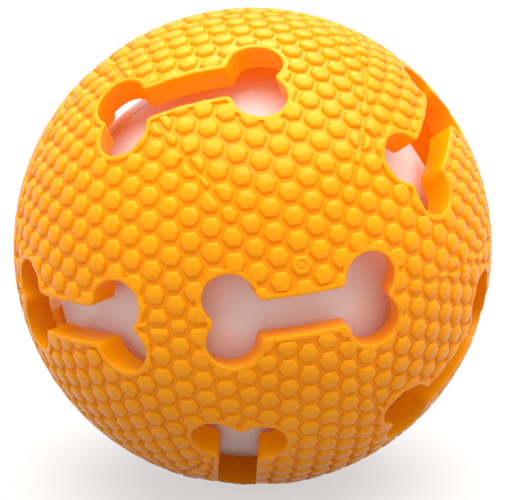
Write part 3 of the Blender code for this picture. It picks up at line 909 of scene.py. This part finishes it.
def add_screw_posts(half):
    """Posts from the wall of the back half to the tray, each with a hole for its screw."""

    def wall_middle(x, y):
        return -math.sqrt((GLOW_RADIUS - GLOW_WALL / 2) ** 2 - x * x - y * y)

    posts = bmesh.new()
    holes = bmesh.new()
    for degrees in SCREW_ANGLES:
        centre = on_circle(SCREW_CIRCLE_RADIUS, degrees)
        add_column(posts, POST_RADIUS, wall_middle, POST_FRONT, centre, 0.0)
        add_column(holes, POST_HOLE_RADIUS, POST_HOLE_END, POST_FRONT + POST_HOLE_OVERRUN, centre, 0.5)
    combine(half, to_item("posts", posts), "UNION")
    combine(half, to_item("holes", holes), "DIFFERENCE")


def make_glow_half(name, front, material):
    """Half of the milky ball. The front half has a lip inside its rim, the back half its rebate."""
    inner = GLOW_RADIUS - GLOW_WALL
    lip = GLOW_RADIUS - GLOW_WALL / 2 - GAP / 2
    step_radius, rim_end = (lip, -GLOW_LAP_DEPTH) if front else (lip + GAP, GLOW_LAP_DEPTH + GAP)
    seam = GAP / 2
    outside = arc_points((0, 0), GLOW_RADIUS, math.asin(seam / GLOW_RADIUS), math.pi / 2, GLOW_STEPS)
    lining = arc_points((0, 0), inner, math.pi / 2, math.asin(rim_end / inner), GLOW_STEPS)
    outside[-1] = (0.0, GLOW_RADIUS)
    lining[0] = (0.0, inner)
    side = 1 if front else -1
    profile = outside + lining + [(step_radius, rim_end), (step_radius, seam)]
    bm = bmesh.new()
    add_turned(bm, [(across, side * along) for across, along in profile], GLOW_SEGMENTS)
    half = to_item(name, bm)
    if not front:
        add_screw_posts(half)
    stand_up(half)
    smooth(half.data, GLOW_SHARP_ANGLE)
    cover(half.data, material)
    return half


def make_coil(name, centre, seat, diameter, pitch, turns, material):
    """A round wire coil about Z with a straight run of one wire diameter at each end."""
    curve = bpy.data.curves.new(name, "CURVE")
    curve.dimensions = "3D"
    curve.bevel_depth = COIL_WIRE / 2
    curve.bevel_resolution = COIL_ROUNDNESS
    curve.use_fill_caps = True
    path = [(diameter / 2, 0.0, 0.0)]
    for step in range(turns * COIL_POINTS + 1):
        x, y = on_circle(diameter / 2, 360.0 * step / COIL_POINTS)
        path.append((x, y, COIL_WIRE + pitch * step / COIL_POINTS))
    path.append((path[-1][0], path[-1][1], path[-1][2] + COIL_WIRE))
    spline = curve.splines.new("POLY")
    spline.points.add(len(path) - 1)
    for point, (x, y, z) in zip(spline.points, path):
        point.co = (centre[0] + x, centre[1] + y, seat + z, 1.0)
    wound = link(name + "_path", curve)
    shaped = wound.evaluated_get(bpy.context.evaluated_depsgraph_get())
    bm = bmesh.new()
    bm.from_mesh(bpy.data.meshes.new_from_object(shaped))
    bmesh.ops.remove_doubles(bm, verts=bm.verts, dist=COIL_JOIN)
    coil = to_item(name, bm)
    bpy.data.objects.remove(wound, do_unlink=True)
    stand_up(coil)
    smooth(coil.data, COIL_SHARP_ANGLE)
    cover(coil.data, material)
    return coil


def grey(tone):
    return (tone, tone, tone)


class Paint:
    """A node material with short ways to add the textures that the pieces share."""

    def __init__(self, name, **values):
        self.material = bpy.data.materials.new(name)
        self.material.use_nodes = True
        self.tree = self.material.node_tree
        self.shader = self.tree.nodes["Principled BSDF"]
        for socket, value in values.items():
            self.shader.inputs[socket.replace("_", " ")].default_value = value
        self.surface = self.shader.outputs["BSDF"]
        self.coords = self.tree.nodes.new("ShaderNodeTexCoord").outputs["Object"]

    def node(self, kind, result, inputs, **settings):
        """Adds a node. An input is a value or the output of another node."""
        made = self.tree.nodes.new(kind)
        for setting, value in settings.items():
            setattr(made, setting, value)
        for socket, value in inputs.items():
            if isinstance(value, bpy.types.NodeSocket):
                self.tree.links.new(value, made.inputs[socket])
            else:
                made.inputs[socket].default_value = value
        return made.outputs[result]

    def noise(self, scale, detail=3.0):
        inputs = {"Vector": self.coords, "Scale": scale, "Detail": detail}
        return self.node("ShaderNodeTexNoise", "Fac", inputs)

    def ramp(self, factor, *stops):
        """A run of colours, each with its place from 0 to 1."""
        made = self.tree.nodes.new("ShaderNodeValToRGB")
        elements = made.color_ramp.elements
        while len(elements) < len(stops):
            elements.new(0.5)
        for element, (place, colour) in zip(elements, stops):
            element.position = place
            element.color = (*colour, 1.0)
        self.tree.links.new(factor, made.inputs["Fac"])
        return made.outputs["Color"]

    def spread(self, factor, low, high):
        """Stretches a noise texture from a low value to a high one."""
        limits = {"From Min": NOISE_LOW, "From Max": NOISE_HIGH, "To Min": low, "To Max": high}
        return self.node("ShaderNodeMapRange", "Result", {"Value": factor, **limits})

    def multiply(self, first, second):
        made = self.tree.nodes.new("ShaderNodeMix")
        made.data_type = "RGBA"
        made.blend_type = "MULTIPLY"
        made.inputs["Factor"].default_value = 1.0
        sockets = [socket for socket in made.inputs if socket.type == "RGBA"]
        for socket, value in zip(sockets, (first, second)):
            self.tree.links.new(value, socket)
        return [socket for socket in made.outputs if socket.type == "RGBA"][0]

    def bump(self, height, distance, strength):
        inputs = {"Height": height, "Distance": distance, "Strength": strength}
        self.put(self.node("ShaderNodeBump", "Normal", inputs), "Normal")

    def put(self, output, socket):
        self.tree.links.new(output, self.shader.inputs[socket])

    def finish(self, output):
        """Shows another shader in place of the plain one."""
        self.tree.links.new(output, self.tree.nodes["Material Output"].inputs["Surface"])


def rubber_paint():
    """Soft rubber: part of the light that falls on it comes out on the other side, redder."""
    paint = Paint("orange_rubber", Specular_IOR_Level=0.45, Specular_Tint=GLOSS_TINT)
    relief = paint.node("ShaderNodeAttribute", "Fac", {}, attribute_name="relief")
    # Base colour by mark, painted a little lighter in the grooves than on the pad tops: painted light
    # against the shade there
    depth = paint.ramp(relief, *RUBBER_COLOURS_WITH_PAINTED_GROOVE_LIGHT)
    blotch = paint.ramp(paint.noise(scale=55.0, detail=4.0), (0.35, (0.95, 0.91, 0.84)), (0.65, grey(1.0)))
    paint.put(paint.multiply(depth, blotch), "Base Color")
    skin = paint.noise(scale=1400.0, detail=5.0)
    paint.put(paint.spread(skin, low=0.16, high=0.26), "Roughness")
    paint.bump(skin, distance=SKIN_DEPTH, strength=0.25)
    through = paint.node("ShaderNodeBsdfTranslucent", "BSDF", {"Color": THROUGH_TINT})
    share = paint.ramp(relief, *[(mark, grey(amount)) for mark, amount in THROUGH_SHARES])
    paint.finish(paint.node("ShaderNodeMixShader", "Shader", {0: share, 1: paint.surface, 2: through}))
    return paint.material


def milky_paint():
    """Smooth milky plastic, faintly uneven in tone and gloss. Its tones are painted duller and pinker than
    white plastic: painted shade, and painted orange light from the rubber round it.
    """
    paint = Paint("milky_plastic")
    # Painted shade and painted orange light: tones duller and pinker than white plastic
    tones = ((NOISE_LOW, (0.74, 0.65, 0.64)), (NOISE_HIGH, (0.78, 0.69, 0.68)))
    paint.put(paint.ramp(paint.noise(scale=90.0), *tones), "Base Color")
    paint.put(paint.spread(paint.noise(scale=700.0), low=0.31, high=0.37), "Roughness")
    return paint.material


def grained_paint(name, dark, light, rough, grain, **values):
    """A surface of two near tones, with uneven gloss and a fine grain."""
    paint = Paint(name, **values)
    paint.put(paint.ramp(paint.noise(scale=grain / 6), (0.35, dark), (0.65, light)), "Base Color")
    fine = paint.noise(scale=grain, detail=4.0)
    paint.put(paint.spread(fine, low=rough - 0.06, high=rough + 0.08), "Roughness")
    paint.bump(fine, distance=GRAIN_DEPTH, strength=0.3)
    return paint.material


def inner_paint(name):
    """The paint of a piece inside the milky ball, from the table of looks."""
    dark, light, rough, grain, metal = INNER_LOOKS[name]
    return grained_paint(name, dark, light, rough, grain, Metallic=metal)


def ride_as(piece, body, slot, *nodes):
    """Says which body a piece rides on and hides the nodes it stands for. Its slot is not used."""
    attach(piece, body)
    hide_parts(*nodes)


def dress_rubber():
    paint = rubber_paint()
    moulding = make_moulding()
    line = math.radians(BACK_TURN_LINE)
    hinge_line = np.array([math.cos(line), math.sin(line), 0.0])
    turned_over = 2.0 * np.outer(hinge_line, hinge_line) - np.eye(3)
    for side, turn in (("front", np.eye(3)), ("back", turned_over)):
        piece = make_rubber(*moulding, f"rubber_half_{side}", turn, paint)
        ride_as(piece, "shell", "orange_rubber", f"outer_shell_{side}")


def dress_glow_ball():
    paint = milky_paint()
    for side in ("front", "back"):
        piece = make_glow_half(f"milky_half_{side}", side == "front", paint)
        ride_as(piece, "glow_ball", "milky_plastic", f"glow_ball_{side}")


def dress_coils():
    wire = inner_paint("spring_wire")
    for name, degrees in CELL_ANGLES.items():
        centre = on_circle(CELL_CIRCLE_RADIUS, degrees)
        coil = make_coil(f"cell_coil_{name}", centre, CELL_COIL_SEAT, *CELL_COIL, wire)
        ride_as(coil, "glow_ball", "spring_wire", f"cell_spring_{name}")
    wire = inner_paint("switch_wire")
    coil = make_coil("motion_coil", (0.0, 0.0), SWITCH_COIL_SEAT, *SWITCH_COIL, wire)
    ride_as(coil, "motion_spring", "switch_steel", "motion_spring")


def paint_inner_parts():
    """Materials of the solids that keep their own shape."""
    for look, names in INNER_NODES.items():
        material = inner_paint(look)
        for name in names:
            cover(bpy.data.objects[name].data, material)
    glassy = {"Transmission_Weight": 0.35, "IOR": 1.5}
    for colour, (dark, light) in LENS_TONES.items():
        lens = grained_paint(f"{colour}_lens", dark, light, LENS_ROUGHNESS, LENS_GRAIN, **glassy)
        cover(bpy.data.objects[f"{colour}_led"].data, lens)


def camera_axes():
    """Right, up and back of the camera that took the photograph."""
    azimuth, elevation = math.radians(CAMERA_AZIMUTH), math.radians(CAMERA_ELEVATION)
    right = Vector((math.cos(azimuth), math.sin(azimuth), 0.0))
    back = Vector((math.sin(azimuth), -math.cos(azimuth), 0.0)) * math.cos(elevation)
    back.z = math.sin(elevation)
    return right, back.cross(right), back


def aim(item, right, up, back, place):
    """Sets a camera or lamp at a place, with its own axes given."""
    turn = Matrix((right, up, back)).transposed().to_4x4()
    item.matrix_world = Matrix.Translation(place) @ turn


def make_camera():
    data = bpy.data.cameras.new("camera")
    data.sensor_width = CAMERA_SENSOR
    data.lens = CAMERA_LENS
    data.shift_x, data.shift_y = CAMERA_SHIFT
    data.clip_start = CAMERA_CLIP_START
    camera = link("camera", data)
    right, up, back = camera_axes()
    aim(camera, right, up, back, back * CAMERA_DISTANCE)
    bpy.context.scene.camera = camera


def seen_directly(tree):
    """1 for rays from the camera and for those that gloss or glass hands on, and 0 for the rest."""
    path = tree.nodes.new("ShaderNodeLightPath")
    seen = path.outputs["Is Camera Ray"]
    for kind in ("Is Glossy Ray", "Is Transmission Ray"):
        either = tree.nodes.new("ShaderNodeMath")
        either.operation = "MAXIMUM"
        tree.links.new(seen, either.inputs[0])
        tree.links.new(path.outputs[kind], either.inputs[1])
        seen = either.outputs["Value"]
    return seen


def make_floor():
    """A grey floor under the ball, lifted to white where it is seen and not in shadow."""
    bm = bmesh.new()
    bmesh.ops.create_grid(bm, x_segments=1, y_segments=1, size=FLOOR_HALF_WIDTH)
    floor = to_item("floor", bm)
    floor.location.z = CAD_BOX[0][2]
    paint = Paint("floor_white", Roughness=0.8, Emission_Color=WHITE)
    dark, light = FLOOR_TONES
    tones = ((NOISE_LOW, grey(dark)), (NOISE_HIGH, grey(light)))
    paint.put(paint.ramp(paint.noise(scale=3.0), *tones), "Base Color")
    seen = seen_directly(paint.tree)
    lift = paint.node("ShaderNodeMath", "Value", {0: seen, 1: FLOOR_LIFT}, operation="MULTIPLY")
    paint.put(lift, "Emission Strength")
    cover(floor.data, paint.material)


def make_sky():
    """Even soft light from all round, which is a white background where it is seen directly."""
    world = bpy.data.worlds.new("studio")
    world.use_nodes = True
    tree = world.node_tree
    soft = tree.nodes["Background"]
    soft.inputs["Color"].default_value = WHITE
    soft.inputs["Strength"].default_value = SKY_LEVEL
    white = tree.nodes.new("ShaderNodeBackground")
    white.inputs["Color"].default_value = WHITE
    mix = tree.nodes.new("ShaderNodeMixShader")
    tree.links.new(seen_directly(tree), mix.inputs["Fac"])
    tree.links.new(soft.outputs["Background"], mix.inputs[1])
    tree.links.new(white.outputs["Background"], mix.inputs[2])
    tree.links.new(mix.outputs["Shader"], tree.nodes["World Output"].inputs["Surface"])
    bpy.context.scene.world = world


def make_key():
    """A large square lamp overhead that shines at the middle of the ball."""
    data = bpy.data.lights.new("key", "AREA")
    data.size = KEY_SIZE
    data.energy = KEY_POWER
    lamp = link("key", data)
    across, above, ahead = KEY_DIRECTION
    right, up, back = camera_axes()
    toward = (right * across + up * above + back * ahead).normalized()
    side = Vector((0.0, 0.0, 1.0)).cross(toward).normalized()
    aim(lamp, side, toward.cross(side), toward, toward * KEY_DISTANCE)


dress_rubber()
dress_glow_ball()
dress_coils()
paint_inner_parts()
make_floor()
make_sky()
make_key()
make_camera()
bpy.context.scene.view_settings.view_transform = "Standard"
